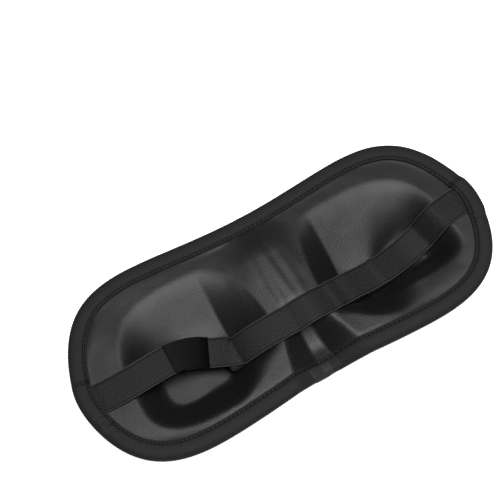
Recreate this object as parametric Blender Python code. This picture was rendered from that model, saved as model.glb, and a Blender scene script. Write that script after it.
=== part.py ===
"""Contoured sleep mask, lying face side up on the fronts of its two eye cups.

X runs along the mask, +Y is the forehead side, -Y the nose side, +Z the side that meets
the face. The origin is on the surface the mask lies on, under the middle of the mask.
Heights of the moulded pad are measured from its flat border, "rim level".
"""
import math

import bmesh
import bpy
from mathutils import Vector

MM = 0.001

# ---- mask outline -------------------------------------------------------------------
LENGTH = 222.0 * MM           # tip to tip, over the binding
HEIGHT = 97.5 * MM            # forehead edge to nose edge
LOBE_FULLNESS = 0.081         # how square the two round ends are
WAIST = 0.082                 # how far both long edges dip between the ends
TIP_DROP = 0.012              # the ends sit a little nearer the nose edge
BROW_FLATTEN = 0.015          # the forehead edge is flatter than the nose edge
NOSE_NOTCH = 1.4 * MM         # extra dip of the lower edge at the nose
NOSE_NOTCH_SPREAD = 18.0 * MM

# ---- pad layers ---------------------------------------------------------------------
GAP = 0.3 * MM                # clearance between pieces that touch
FABRIC = 0.6 * MM             # lining and front fabric
FOAM = 4.0 * MM               # moulded foam
FOAM_EDGE = 2.0 * MM          # foam pressed thin under the binding
FOAM_FEATHER = 4.0 * MM       # width over which it thins, beside the binding
CUP_DEPTH = 14.0 * MM         # eye hollow below rim level
CUP_X_SHARE = 0.43243         # middle of each eye hollow, as a share of the half length
CUP_Y = -1.0 * MM
CUP_INNER_SHARE = 0.75        # reach of the hollow towards the nose, as a share of that
CUP_TEMPLE_BORDER = 25.0 * MM   # from the hollow to the tip
CUP_BROW_BORDER = 16.75 * MM  # and to the two long edges, at the mask's greatest height
CUP_FLOOR_SHARE = 0.55        # part of the hollow that is flat floor
CUP_SQUARENESS = 2.2
END_LIFT = 3.0 * MM           # the two ends curl up towards the face
BRIDGE_RISE = 3.0 * MM        # pad between the hollows stands above rim level
BRIDGE_SPREAD = 15.0 * MM
BRIDGE_FADE = 1.3             # it fades out this far from the middle, as a share of NOSE_FULL
NOSE_DEPTH = 6.0 * MM         # channel for the nose
NOSE_TOP = -6.0 * MM          # y where the channel starts
NOSE_FULL_INSET = 14.75 * MM  # it has its full depth this far from the lower edge
NOSE_TOP_HALF = 11.0 * MM     # half width of the channel at those two places
NOSE_FULL_HALF = 19.0 * MM

# ---- binding ------------------------------------------------------------------------
TAPE = 0.8 * MM               # knitted tape folded over the edge
FLANGE = 9.0 * MM             # how far the tape reaches in on each side
TAPE_ROUND = 1.5 * MM         # rounding of the folded edge
JOIN_LENGTH = 11.0 * MM       # where one end of the tape laps over the other
JOIN_X = -4.0 * MM
THREAD = 0.8 * MM             # thickness of the stitch rows
THREAD_INSET = 7.2 * MM       # from the outer edge to the stitch row
TAIL_FADE = 6.75 * MM         # the tape sinks back to the pad over this, beside a strap end

# ---- strap --------------------------------------------------------------------------
STRAP_WIDTH = 15.0 * MM
ELASTIC = 1.2 * MM            # thickness of the elastic
LOOP_TAPE = 1.2 * MM          # thickness of the loop faced strap
HOOK_TAPE = 1.6 * MM          # thickness of the hook tab
TAIL_INSET = 2.4 * MM         # how deep the sewn-in strap ends reach into the binding
SEAM_Y = -3.0 * MM            # where both strap ends leave the binding
SEAM_SET_IN = 2.5 * MM        # strap bends this far inside the edge of the binding
TAB_ROOT_X = -64.0 * MM       # hook tab is sewn on here
TAB_END_X = -46.0 * MM
LOOP_END_X = -59.0 * MM       # free end of the loop strap, under the tab
FOLD_RIGHT_X = -35.0 * MM     # spare strap lies in one flat Z fold
FOLD_LEFT_X = -43.0 * MM
FOLD_PITCH = 2.0 * MM         # rise from one layer of the fold to the next
LAP_START_X = 36.0 * MM       # loop strap is sewn on the right elastic here
LAP_END_X = 48.0 * MM
LAP_RAMP = 10.0 * MM          # length over which the loop strap climbs onto the elastic
LAP_RAMP_END = 4.0 * MM       # and how far before the lap the climb is done
FOLD_LOW = -7.4 * MM          # middle of the fold's lowest layer, from rim level
STRAP_CLEARANCE = 0.5 * MM    # least space between the strap and the pad under it
TAB_SEAM_INSET = 3.0 * MM     # seam across the elastic, before the tab
LAP_SEAM_INSET = 4.0 * MM     # seam across the lap, before its end
SEAM_MARGIN = 1.0 * MM        # a seam stops this far short of the strap's edges
BAND_STEP = 3.0 * MM          # length of one facet along a strap

# ---- mesh density -------------------------------------------------------------------
PLAIN_STEP = 10.0 * MM        # facet length along the plain edge
FINE_STEP = 4.5 * MM          # and at the nose and the strap seams
PAD_RINGS = (0.24, 0.46, 0.66, 0.84)   # rings between the border and the spine
SPINE_SHARE = 0.68            # spine of the pad, as a share of the length
OUTLINE_SAMPLES = 720
SHARP_ANGLE = 40              # edges that turn by more degrees than this stay crisp

HALF_LENGTH = LENGTH / 2
CUP_X = CUP_X_SHARE * HALF_LENGTH
CUP_INNER = CUP_INNER_SHARE * CUP_X
CUP_OUTER = HALF_LENGTH - CUP_X - CUP_TEMPLE_BORDER
CUP_HALF_HEIGHT = HEIGHT / 2 - CUP_BROW_BORDER
NOSE_FULL = NOSE_FULL_INSET - HEIGHT / 2
PAD_EDGE = TAPE + GAP
BORDER = FLANGE + FOAM_FEATHER
PAD_THICKNESS = FABRIC + GAP + FOAM + GAP + FABRIC
RIM = CUP_DEPTH + PAD_THICKNESS       # rim level above the resting surface
FLANGE_X = HALF_LENGTH - FLANGE       # inner edge of the binding at the two tips
JOIN_REACH = THREAD_INSET - GAP       # the lapped tape end stops short of the stitches


def smooth(value):
    value = min(1.0, max(0.0, value))
    return value * value * (3.0 - 2.0 * value)


# ---- outline ------------------------------------------------------------------------
def raw_outline(angle):
    x = math.cos(angle) - LOBE_FULLNESS * math.cos(3 * angle) - TIP_DROP * math.sin(2 * angle)
    y = (math.sin(angle) + BROW_FLATTEN * math.cos(2 * angle)
         + 0.3 * WAIST * math.sin(3 * angle) - WAIST * math.sin(5 * angle))
    return x, y


def outline_samples():
    """The closed edge, anticlockwise from the right tip, scaled to its real size."""
    raw = [raw_outline(2 * math.pi * i / OUTLINE_SAMPLES) for i in range(OUTLINE_SAMPLES)]
    xs = [point[0] for point in raw]
    ys = [point[1] for point in raw]
    x_scale = LENGTH / (max(xs) - min(xs))
    y_scale = HEIGHT / (max(ys) - min(ys))
    x_middle = (max(xs) + min(xs)) / 2
    y_middle = (max(ys) + min(ys)) / 2
    edge = []
    for x, y in raw:
        point = Vector(((x - x_middle) * x_scale, (y - y_middle) * y_scale))
        if point.y < 0:
            point.y += NOSE_NOTCH * math.exp(-(point.x / NOSE_NOTCH_SPREAD) ** 2)
        edge.append(point)
    return edge


def facet_step(point):
    near_nose = abs(point.x) < NOSE_FULL_HALF + FINE_STEP
    near_seam = abs(point.x) > FLANGE_X
    return FINE_STEP if near_nose or near_seam else PLAIN_STEP


def station_indices(edge):
    """Samples of the upper edge, closer together where the shape changes quickly."""
    half = OUTLINE_SAMPLES // 2
    travelled = [0.0]
    for i in range(half):
        middle = (edge[i] + edge[i + 1]) / 2
        travelled.append(travelled[-1] + (edge[i + 1] - edge[i]).length / facet_step(middle))
    count = round(travelled[-1])
    picked = []
    for k in range(count + 1):
        target = travelled[-1] * k / count
        picked.append(min(range(half + 1), key=lambda i: abs(travelled[i] - target)))
    return picked


def make_stations():
    """Edge points with their inward normals and spine points, in matching upper and lower pairs."""
    edge = outline_samples()
    upper = station_indices(edge)
    lower = [OUTLINE_SAMPLES - i for i in reversed(upper[1:-1])]
    stations = []
    for i in upper + lower:
        point = edge[i % OUTLINE_SAMPLES]
        along = edge[(i + 1) % OUTLINE_SAMPLES] - edge[i - 1]
        inward = Vector((-along.y, along.x)).normalized()
        mirrored = edge[(OUTLINE_SAMPLES - i) % OUTLINE_SAMPLES]
        spine = Vector(((point.x + mirrored.x) / 2 * SPINE_SHARE, CUP_Y))
        stations.append((point, inward, spine))
    return stations


# ---- moulded shape ------------------------------------------------------------------
def cup_share(x, y):
    """1 on the floor of an eye hollow, 0 outside it."""
    reach = CUP_INNER if abs(x) < CUP_X else CUP_OUTER
    across = abs(abs(x) - CUP_X) / reach
    up = abs(y - CUP_Y) / CUP_HALF_HEIGHT
    radius = (across ** CUP_SQUARENESS + up ** CUP_SQUARENESS) ** (1 / CUP_SQUARENESS)
    return 1.0 - smooth((radius - CUP_FLOOR_SHARE) / (1.0 - CUP_FLOOR_SHARE))


def nose_channel(x, y):
    along = smooth((NOSE_TOP - y) / (NOSE_TOP - NOSE_FULL))
    share = min(1.0, max(0.0, (NOSE_TOP - y) / (NOSE_TOP - NOSE_FULL)))
    half_width = NOSE_TOP_HALF + (NOSE_FULL_HALF - NOSE_TOP_HALF) * share
    return NOSE_DEPTH * along * max(0.0, 1.0 - (x / half_width) ** 2)


def face_height(x, y):
    """Height of the face side above rim level."""
    cup = cup_share(x, y)
    lift = END_LIFT * (x / HALF_LENGTH) ** 2
    bridge = BRIDGE_RISE * math.exp(-(x / BRIDGE_SPREAD) ** 2)
    bridge *= smooth(BRIDGE_FADE - abs(y) / abs(NOSE_FULL))
    return (lift + bridge) * (1.0 - cup) - CUP_DEPTH * cup - nose_channel(x, y)


def foam_thickness(inset):
    return FOAM_EDGE + (FOAM - FOAM_EDGE) * smooth((inset - FLANGE) / (BORDER - FLANGE))


def face_z(x, y):
    return RIM + face_height(x, y)


# ---- mesh helpers -------------------------------------------------------------------
def finish(mesh_name, mesh, material):
    bmesh.ops.recalc_face_normals(mesh, faces=mesh.faces)
    data = bpy.data.meshes.new(mesh_name)
    mesh.to_mesh(data)
    mesh.free()
    data.materials.append(material)
    piece = bpy.data.objects.new(mesh_name, data)
    bpy.context.collection.objects.link(piece)
    data.shade_smooth()
    data.set_sharp_from_angle(angle=math.radians(SHARP_ANGLE))
    return piece


def sweep(mesh_name, sections, material, closed):
    """Skin a row of equal sections; a closed row joins its last section to its first."""
    mesh = bmesh.new()
    rows = [[mesh.verts.new(point) for point in section] for section in sections]
    size = len(rows[0])
    spans = len(rows) if closed else len(rows) - 1
    for r in range(spans):
        here = rows[r]
        after = rows[(r + 1) % len(rows)]
        for i in range(size):
            j = (i + 1) % size
            mesh.faces.new((here[i], here[j], after[j]))
            mesh.faces.new((here[i], after[j], after[i]))
    if not closed:
        mesh.faces.new(rows[0])
        mesh.faces.new(rows[-1])
    return finish(mesh_name, mesh, material)


def fabric(name, colour, roughness):
    material = bpy.data.materials.new(name)
    material.use_nodes = True
    shader = material.node_tree.nodes["Principled BSDF"]
    shader.inputs["Base Color"].default_value = (*colour, 1.0)
    shader.inputs["Roughness"].default_value = roughness
    shader.inputs["Metallic"].default_value = 0.0
    return material


# ---- pad ----------------------------------------------------------------------------
def pad_layer(name, stations, top_of, bottom_of, material):
    """A moulded sheet between two depths below the face side, given for each edge inset."""
    insets = (PAD_EDGE, (PAD_EDGE + FLANGE) / 2, FLANGE + GAP, BORDER)
    mesh = bmesh.new()
    rings = []
    for inset in insets:
        rings.append([(mesh.verts.new((*(point + inward * inset), 0.0)), inset)
                      for point, inward, spine in stations])
    for share in PAD_RINGS:
        rings.append([(mesh.verts.new((*((point + inward * BORDER).lerp(spine, share)), 0.0)), BORDER)
                      for point, inward, spine in stations])
    rings.append([(mesh.verts.new((*spine, 0.0)), BORDER) for point, inward, spine in stations])
    inset_of = {vert: inset for ring in rings for vert, inset in ring}
    count = len(stations)
    for outer, inner in zip(rings, rings[1:]):
        for i in range(count):
            j = (i + 1) % count
            corners = (outer[i][0], outer[j][0], inner[j][0], inner[i][0])
            mesh.faces.new(corners[:3])
            mesh.faces.new((corners[0], corners[2], corners[3]))
    for vert in mesh.verts:
        vert.co.z = face_z(vert.co.x, vert.co.y) - top_of(inset_of[vert])
    depth_at = {tuple(vert.co.xy): bottom_of(inset) - top_of(inset) for vert, inset in inset_of.items()}
    bmesh.ops.remove_doubles(mesh, verts=mesh.verts, dist=0.01 * MM)
    new = bmesh.ops.extrude_face_region(mesh, geom=list(mesh.faces), use_keep_orig=True)["geom"]
    for vert in (item for item in new if isinstance(item, bmesh.types.BMVert)):
        vert.co.z -= depth_at[tuple(vert.co.xy)]
    return finish(name, mesh, material)


def lining_bottom(inset):
    return FABRIC


def foam_top(inset):
    return FABRIC + GAP


def foam_bottom(inset):
    return foam_top(inset) + foam_thickness(inset)


def cover_top(inset):
    return foam_bottom(inset) + GAP


def cover_bottom(inset):
    return cover_top(inset) + FABRIC


# ---- binding and its stitches ---------------------------------------------------------
def tail_lift(point):
    """The binding rises over the strap ends that are sewn in under it."""
    if abs(point.x) < FLANGE_X - FLANGE:
        return 0.0
    beside = abs(point.y - SEAM_Y) - STRAP_WIDTH / 2
    return (ELASTIC + GAP) * smooth(1.5 - beside / TAIL_FADE)


def binding_section(station, extra, reach):
    """U section round the pad edge; extra moves it outwards, reach is how far in it goes."""
    point, inward, spine = station
    lift = tail_lift(point)
    pad_bottom = cover_bottom(PAD_EDGE)

    def place(inset, offset, face_side):
        flat = point + inward * inset
        base = face_z(flat.x, flat.y)
        height = base + lift + offset if face_side else base - pad_bottom - offset
        return Vector((flat.x, flat.y, height))

    near = GAP + extra
    far = GAP + TAPE + extra
    return [
        place(reach, far, True), place(TAPE_ROUND - extra, far, True),
        place(-extra, far - TAPE_ROUND, True), place(-extra, far - TAPE_ROUND, False),
        place(TAPE_ROUND - extra, far, False), place(reach, far, False),
        place(reach, near, False), place(TAPE - extra, near, False),
        place(TAPE - extra, near, True), place(reach, near, True),
    ]


def join_stations(stations):
    """Stations of the nose edge that the lapped tape end covers."""
    chosen = [s for s in stations if s[0].y < 0 and abs(s[0].x - JOIN_X) < JOIN_LENGTH / 2]
    return sorted(chosen, key=lambda station: station[0].x)


def stitch_row(name, stations, face_side, material):
    """One row of thread all round, lying on the inner part of the folded tape."""
    sections = []
    for station in stations:
        point, inward, spine = station
        lift = tail_lift(point) if face_side else 0.0
        corners = []
        for across, up in ((0.0, 0.0), (1.0, 0.0), (1.0, 1.0), (0.0, 1.0)):
            flat = point + inward * (THREAD_INSET + across * THREAD)
            base = face_z(flat.x, flat.y)
            offset = GAP + TAPE + GAP + up * THREAD
            height = base + lift + offset if face_side else base - cover_bottom(PAD_EDGE) - offset
            corners.append(Vector((flat.x, flat.y, height)))
        sections.append(corners)
    return sweep(name, sections, material, closed=True)


# ---- strap --------------------------------------------------------------------------
def through(points, x):
    """Smooth curve through (x, value) points: a Hermite piece between neighbours."""
    if x <= points[0][0]:
        return points[0][1]
    if x >= points[-1][0]:
        return points[-1][1]
    slopes = []
    for i in range(len(points)):
        before = points[max(i - 1, 0)]
        after = points[min(i + 1, len(points) - 1)]
        slopes.append((after[1] - before[1]) / (after[0] - before[0]))
    k = max(i for i in range(len(points) - 1) if points[i][0] <= x)
    span = points[k + 1][0] - points[k][0]
    t = (x - points[k][0]) / span
    a, b = points[k][1], points[k + 1][1]
    return ((2 * t ** 3 - 3 * t ** 2 + 1) * a + (t ** 3 - 2 * t ** 2 + t) * span * slopes[k]
            + (3 * t ** 2 - 2 * t ** 3) * b + (t ** 3 - t ** 2) * span * slopes[k + 1])


def between(start, stop, share):
    return start + (stop - start) * share


SEAM_HEIGHT = GAP + ELASTIC / 2
SEAM_RISE = SEAM_HEIGHT + END_LIFT * (FLANGE_X / HALF_LENGTH) ** 2
HINGE_X = FLANGE_X - SEAM_SET_IN    # strap bends up here, just inside the binding
UNDER_TAB = HOOK_TAPE / 2 + GAP + LOOP_TAPE / 2

# Plan line of the strap, (x, y): straight from the left seam to the tab, then swung
# towards the nose; the long part lies on the nose side of the bridge.
LEFT_PLAN = ((-HALF_LENGTH, SEAM_Y), (-FLANGE_X, SEAM_Y - 0.8 * MM),
             (between(-FLANGE_X, TAB_ROOT_X, 0.5), -4.1 * MM), (TAB_ROOT_X, -3.4 * MM),
             (between(TAB_ROOT_X, TAB_END_X, 0.55), -4.8 * MM), (TAB_END_X, -8.0 * MM),
             (FOLD_RIGHT_X, -13.4 * MM))
LONG_PLAN = ((FOLD_LEFT_X, -13.4 * MM), (between(FOLD_LEFT_X, LAP_START_X, 0.2), -13.8 * MM),
             (between(FOLD_LEFT_X, LAP_START_X, 0.6), -13.9 * MM),
             (between(FOLD_LEFT_X, LAP_START_X, 0.92), -12.9 * MM), (LAP_END_X, -12.0 * MM),
             (between(LAP_END_X, FLANGE_X, 0.39), -8.4 * MM),
             (between(LAP_END_X, FLANGE_X, 0.78), -4.0 * MM),
             (FLANGE_X, SEAM_Y), (HALF_LENGTH, SEAM_Y))
# Height of the middle of the strap over rim level, (x, height).
LEFT_RISE = ((-FLANGE_X, SEAM_RISE), (between(-FLANGE_X, TAB_ROOT_X, 0.32), 4.2 * MM),
             (between(-FLANGE_X, TAB_ROOT_X, 0.68), 4.6 * MM), (TAB_ROOT_X, 3.8 * MM),
             (between(TAB_ROOT_X, TAB_END_X, 0.55), 1.8 * MM), (TAB_END_X, -0.6 * MM))
LONG_RISE = ((FOLD_LEFT_X, FOLD_LOW), (FOLD_RIGHT_X, FOLD_LOW),
             (between(FOLD_RIGHT_X, LAP_START_X, 0.27), -2.0 * MM),
             (between(FOLD_RIGHT_X, LAP_START_X, 0.56), BRIDGE_RISE + 1.2 * MM),
             (between(FOLD_RIGHT_X, LAP_START_X, 0.75), 1.5 * MM), (LAP_START_X, -4.5 * MM),
             (between(LAP_END_X, FLANGE_X, 0.15), -7.6 * MM),
             (between(LAP_END_X, FLANGE_X, 0.39), -8.0 * MM),
             (between(LAP_END_X, FLANGE_X, 0.78), -1.2 * MM), (FLANGE_X, SEAM_RISE))


def clear_height(x, y, wanted):
    """Height over rim level, raised where the pad would come closer than the clearance."""
    half = STRAP_WIDTH / 2
    highest = max(face_height(x + along, y + across * half)
                  for along in (-BAND_STEP, 0.0, BAND_STEP) for across in (-1, -0.5, 0, 0.5, 1))
    return max(wanted, highest + STRAP_CLEARANCE + ELASTIC / 2)


def long_line(x):
    y = through(LONG_PLAN, x)
    return Vector((x, y, RIM + clear_height(x, y, through(LONG_RISE, x))))


def left_line(x):
    y = through(LEFT_PLAN, x)
    fold_top = long_line(FOLD_RIGHT_X).z - RIM + 2 * FOLD_PITCH + UNDER_TAB
    rise = through(LEFT_RISE + ((FOLD_RIGHT_X, fold_top),), x)
    return Vector((x, y, RIM + clear_height(x, y, rise)))


def plan_heading(line, x):
    """Unit vector across the strap, level, from the plan line's direction at x."""
    along = line(x + MM) - line(x - MM)
    return Vector((-along.y, along.x, 0.0)).normalized()


def steps(start, stop):
    count = max(2, round(abs(stop - start) / BAND_STEP))
    return [start + (stop - start) * i / count for i in range(count + 1)]


def ribbon(name, path, thickness, material):
    """Flat strap along (point, across) pairs; across points to the strap's forehead side."""
    sections = []
    for i, (point, across) in enumerate(path):
        before = path[max(i - 1, 0)][0]
        after = path[min(i + 1, len(path) - 1)][0]
        along = (after - before).normalized()
        normal = along.cross(across).normalized() * (thickness / 2)
        side = across * (STRAP_WIDTH / 2)
        sections.append([point + side + normal, point - side + normal,
                         point - side - normal, point + side - normal])
    return sweep(name, sections, material, closed=False)


def band_path(line, start, stop, drop):
    """Path of a strap piece that lies a given distance under a strap line."""
    down = Vector((0.0, 0.0, drop))
    return [(line(x) - down, plan_heading(line, x)) for x in steps(start, stop)]


def tail(name, side, material):
    """The end of the elastic that is sewn in between the pad and the binding."""
    start = side * (HALF_LENGTH - TAIL_INSET - TAPE)
    stop = side * (HINGE_X + 2 * GAP)
    path = []
    for x in steps(start, stop):
        height = face_z(x, SEAM_Y) + SEAM_HEIGHT
        path.append((Vector((x, SEAM_Y, height)), Vector((0.0, 1.0, 0.0))))
    return ribbon(name, path, ELASTIC, material)


def loop_strap_path():
    """From the free end under the tab, over the Z fold and the bridge, to the lap."""
    top = band_path(left_line, LOOP_END_X, FOLD_RIGHT_X - FOLD_PITCH, UNDER_TAB)
    middle_y = through(LONG_PLAN, FOLD_RIGHT_X)
    across = Vector((0.0, 1.0, 0.0))
    low_z = long_line(FOLD_RIGHT_X).z
    fold = []
    for quarter in range(5):
        turn = math.pi * quarter / 4
        fold.append((Vector((FOLD_RIGHT_X + FOLD_PITCH / 2 * math.sin(turn), middle_y,
                             low_z + FOLD_PITCH * (1.5 + 0.5 * math.cos(turn)))), across))
    for quarter in range(5):
        turn = math.pi * quarter / 4
        fold.append((Vector((FOLD_LEFT_X - FOLD_PITCH / 2 * math.sin(turn), middle_y,
                             low_z + FOLD_PITCH * (0.5 + 0.5 * math.cos(turn)))), across))
    low = []
    for x in steps(FOLD_LEFT_X + BAND_STEP, LAP_END_X):
        climbed = (x - LAP_START_X + LAP_RAMP_END + LAP_RAMP) / LAP_RAMP
        rise = (ELASTIC / 2 + GAP + LOOP_TAPE / 2) * smooth(climbed)
        low.append((long_line(x) + Vector((0.0, 0.0, rise)), plan_heading(long_line, x)))
    return top + fold + low


def thread_bar(name, point, across, along, above, material):
    """A row of stitches straight across a strap, on its upper face."""
    half = STRAP_WIDTH / 2 - SEAM_MARGIN
    up = along.cross(across).normalized()
    base = point + up * above
    sections = []
    for side in (-half, half):
        start = base + across * side
        sections.append([start, start + along * THREAD, start + along * THREAD + up * THREAD,
                         start + up * THREAD])
    return sweep(name, sections, material, closed=False)


def build():
    for old in list(bpy.data.objects):
        bpy.data.objects.remove(old)
    lining = fabric("face_fabric", (0.040, 0.036, 0.038), 0.75)
    foam = fabric("moulded_foam", (0.030, 0.030, 0.032), 0.90)
    cover = fabric("front_fabric", (0.030, 0.029, 0.031), 0.80)
    tape = fabric("knitted_tape", (0.028, 0.028, 0.028), 0.85)
    thread = fabric("black_thread", (0.020, 0.020, 0.020), 0.60)
    elastic = fabric("woven_elastic", (0.034, 0.034, 0.034), 0.80)
    loops = fabric("loop_tape", (0.038, 0.038, 0.038), 0.85)
    hooks = fabric("hook_tape", (0.014, 0.014, 0.014), 0.55)

    stations = make_stations()
    pad_layer("face_lining", stations, lambda inset: 0.0, lining_bottom, lining)
    pad_layer("foam_core", stations, foam_top, foam_bottom, foam)
    pad_layer("front_cover", stations, cover_top, cover_bottom, cover)
    sweep("edge_binding", [binding_section(s, 0.0, FLANGE) for s in stations], tape, closed=True)
    joined = [binding_section(s, TAPE + GAP, JOIN_REACH) for s in join_stations(stations)]
    sweep("binding_join", joined, tape, closed=False)
    stitch_row("face_stitching", stations, True, thread)
    stitch_row("front_stitching", stations, False, thread)

    tail("left_strap_end", -1, elastic)
    tail("right_strap_end", 1, elastic)
    ribbon("left_strap", band_path(left_line, -HINGE_X, TAB_ROOT_X - GAP, 0.0), ELASTIC, elastic)
    ribbon("hook_tab", band_path(left_line, TAB_ROOT_X, TAB_END_X, 0.0), HOOK_TAPE, hooks)
    ribbon("loop_strap", loop_strap_path(), LOOP_TAPE, loops)
    ribbon("right_strap", band_path(long_line, LAP_START_X, HINGE_X, 0.0), ELASTIC, elastic)

    tab_x = TAB_ROOT_X - TAB_SEAM_INSET
    along = (left_line(tab_x + MM) - left_line(tab_x)).normalized()
    thread_bar("tab_stitching", left_line(tab_x), plan_heading(left_line, tab_x), along,
               ELASTIC / 2 + GAP, thread)
    lap_x = LAP_END_X - LAP_SEAM_INSET
    along = (long_line(lap_x + MM) - long_line(lap_x)).normalized()
    thread_bar("lap_stitching", long_line(lap_x), plan_heading(long_line, lap_x), along,
               ELASTIC / 2 + GAP + LOOP_TAPE + GAP, thread)


build()
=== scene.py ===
"""Contoured sleep mask, lying face side up: its finished surfaces, seams and lighting.

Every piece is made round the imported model, in the same frame: X along the mask, +Y the
forehead side, -Y the nose side, +Z the side that meets the face.
"""
import math

import bmesh
import bpy
from mathutils import Matrix, Vector, noise


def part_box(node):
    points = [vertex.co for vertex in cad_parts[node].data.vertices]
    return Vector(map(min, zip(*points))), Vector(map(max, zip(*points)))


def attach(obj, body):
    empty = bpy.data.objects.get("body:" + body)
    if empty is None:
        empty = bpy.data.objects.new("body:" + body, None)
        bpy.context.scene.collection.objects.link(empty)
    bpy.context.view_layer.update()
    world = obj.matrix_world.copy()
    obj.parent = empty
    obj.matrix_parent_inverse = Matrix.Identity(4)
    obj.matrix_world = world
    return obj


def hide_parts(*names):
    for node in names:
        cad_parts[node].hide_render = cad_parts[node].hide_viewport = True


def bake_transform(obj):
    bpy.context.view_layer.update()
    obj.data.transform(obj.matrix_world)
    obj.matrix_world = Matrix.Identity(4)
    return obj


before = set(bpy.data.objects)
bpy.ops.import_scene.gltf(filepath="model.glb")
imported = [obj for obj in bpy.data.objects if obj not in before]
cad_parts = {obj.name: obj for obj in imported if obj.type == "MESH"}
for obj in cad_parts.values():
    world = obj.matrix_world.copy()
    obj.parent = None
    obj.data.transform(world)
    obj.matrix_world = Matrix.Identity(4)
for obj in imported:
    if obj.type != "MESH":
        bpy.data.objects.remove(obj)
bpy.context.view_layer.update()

MM = 0.001

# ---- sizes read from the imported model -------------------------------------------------
EDGE_LOW, EDGE_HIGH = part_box("edge_binding")
LENGTH = EDGE_HIGH.x - EDGE_LOW.x
HEIGHT = EDGE_HIGH.y - EDGE_LOW.y
LINING_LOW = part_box("face_lining")[0]
FABRIC = 0.6 * MM
CUP_DEPTH = 14.0 * MM
RIM = LINING_LOW.z + FABRIC + CUP_DEPTH      # level of the flat border round the hollows
HALF_LENGTH = LENGTH / 2

# ---- outline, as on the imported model, and the moulded shape of the finished face ---------
LOBE_FULLNESS = 0.081
WAIST = 0.082
TIP_DROP = 0.012
BROW_FLATTEN = 0.015
NOSE_NOTCH = 1.4 * MM
NOSE_NOTCH_SPREAD = 18.0 * MM
OUTLINE_SAMPLES = 1440

GAP = 0.3 * MM
FOAM = 4.0 * MM
FOAM_EDGE = 2.0 * MM
END_LIFT = 3.0 * MM
BRIDGE_RISE = 1.3 * MM
BRIDGE_SPREAD = 15.0 * MM
BRIDGE_BROW_RISE = 1.5 * MM     # it stands higher towards the brow
BRIDGE_CLIMB = (-16.0 * MM, 44.0 * MM)        # where that climb starts, and its length
BRIDGE_NOSE_FADE = (-44.0 * MM, 20.0 * MM)    # where the bridge starts at the nose, and its length
BRIDGE_BROW_FADE = (42.0 * MM, 22.0 * MM)     # where it ends at the brow, and its length
STRAP_OVER_BRIDGE = 4.2 * MM

# An eye hollow: a slope down from the nose side with a crisp foot, and a bowl whose floor
# falls away gently from the brow and climbs softly to the temple and the cheek.
NOSE_WALL = {-1: (12.0 * MM, 33.0 * MM), 1: (16.0 * MM, 31.0 * MM)}   # rim and foot, left and right
BOWL_X = 46.0 * MM
BOWL_Y = -14.0 * MM
BOWL_UP = {"brow": 46.5 * MM, "cheek": 24.0 * MM}
BOWL_ACROSS = {-1: {"nose": 65.0 * MM, "temple": 41.0 * MM},
               1: {"nose": 65.0 * MM, "temple": 46.0 * MM}}
CHEEK_CUT = {-1: {"nose": 0.6, "temple": 0.0}, 1: {"nose": 0.9, "temple": 0.0}}   # corners cut off
SHALLOW_CORNER = {-1: 0.78, 1: 0.88}       # depth lost towards +X on the cheek side
SHALLOW_START = {-1: 3.0 * MM, 1: -14.0 * MM}
SHALLOW_SPREAD = 30.0 * MM
SHALLOW_FADE = (BOWL_Y - 2.0 * MM, 12.0 * MM)     # where it starts towards the cheek, and its length
FOOT_FLARE = {-1: 8.0 * MM, 1: 0.0}       # how far the foot of the nose wall opens at the cheek
FLARE_LENGTH = 10.0 * MM
WALL_ROUNDING = 1.15            # power that rounds the rim of the nose wall
FALL_ROUNDING = 1.5             # power that flattens the foot of the fall from the brow
BOWL_SLOPE = {"nose": 0.6, "temple": 0.4, "brow": 1.0, "cheek": 0.7}   # share that slopes
BOWL_SQUARENESS = {"nose": 2.3, "temple": 2.9}
HOLLOW_DEPTH = 13.2 * MM        # leaves room under it for the unevenness of the cloth
CUT_SQUARENESS = 1.4
CUT_SPREAD = 1.3                # the cut is full before it reaches straight down

NOSE_DEPTH = 9.5 * MM
NOSE_TOP = -3.0 * MM
NOSE_FULL = -30.0 * MM
NOSE_EDGE = -44.0 * MM
NOSE_BORDER_RISE = 0.35         # the channel is shallower where it crosses the binding
NOSE_TOP_HALF = 8.0 * MM
NOSE_EDGE_HALF = 21.0 * MM
NOSE_FLOOR_SHARE = 0.23         # flat middle of the nose channel
NOSE_CREST = 0.06 * MM          # its two edges stand up a little, like creases
NOSE_CREST_WIDTH = 3.5 * MM
NOSE_CREST_PLACE = 1.06         # in half widths of the channel
NOSE_LEAN = 1.5 * MM            # how far its mouth sits to the right

TAPE = 0.8 * MM
FLANGE = 9.0 * MM
BORDER = FLANGE + 4.0 * MM
SPINE_SHARE = 0.68
SPINE_Y = -1.0 * MM
JOIN_LENGTH = 11.0 * MM
JOIN_X = -4.0 * MM
STRAP_WIDTH = 15.0 * MM
ELASTIC = 1.2 * MM
SEAM_Y = -3.0 * MM


def smooth(value):
    """Eases 0 to 1 at both ends, and holds outside them."""
    value = min(1.0, max(0.0, value))
    return value * value * (3.0 - 2.0 * value)


def outline_samples():
    """The closed edge, anticlockwise from the right tip."""
    raw = []
    for i in range(OUTLINE_SAMPLES):
        a = 2 * math.pi * i / OUTLINE_SAMPLES
        x = math.cos(a) - LOBE_FULLNESS * math.cos(3 * a) - TIP_DROP * math.sin(2 * a)
        y = (math.sin(a) + BROW_FLATTEN * math.cos(2 * a)
             + 0.3 * WAIST * math.sin(3 * a) - WAIST * math.sin(5 * a))
        raw.append((x, y))
    xs = [point[0] for point in raw]
    ys = [point[1] for point in raw]
    x_scale = LENGTH / (max(xs) - min(xs))
    y_scale = HEIGHT / (max(ys) - min(ys))
    edge = []
    for x, y in raw:
        point = Vector(((x - (max(xs) + min(xs)) / 2) * x_scale,
                        (y - (max(ys) + min(ys)) / 2) * y_scale))
        if point.y < 0:
            point.y += NOSE_NOTCH * math.exp(-(point.x / NOSE_NOTCH_SPREAD) ** 2)
        edge.append(point)
    return edge


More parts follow.
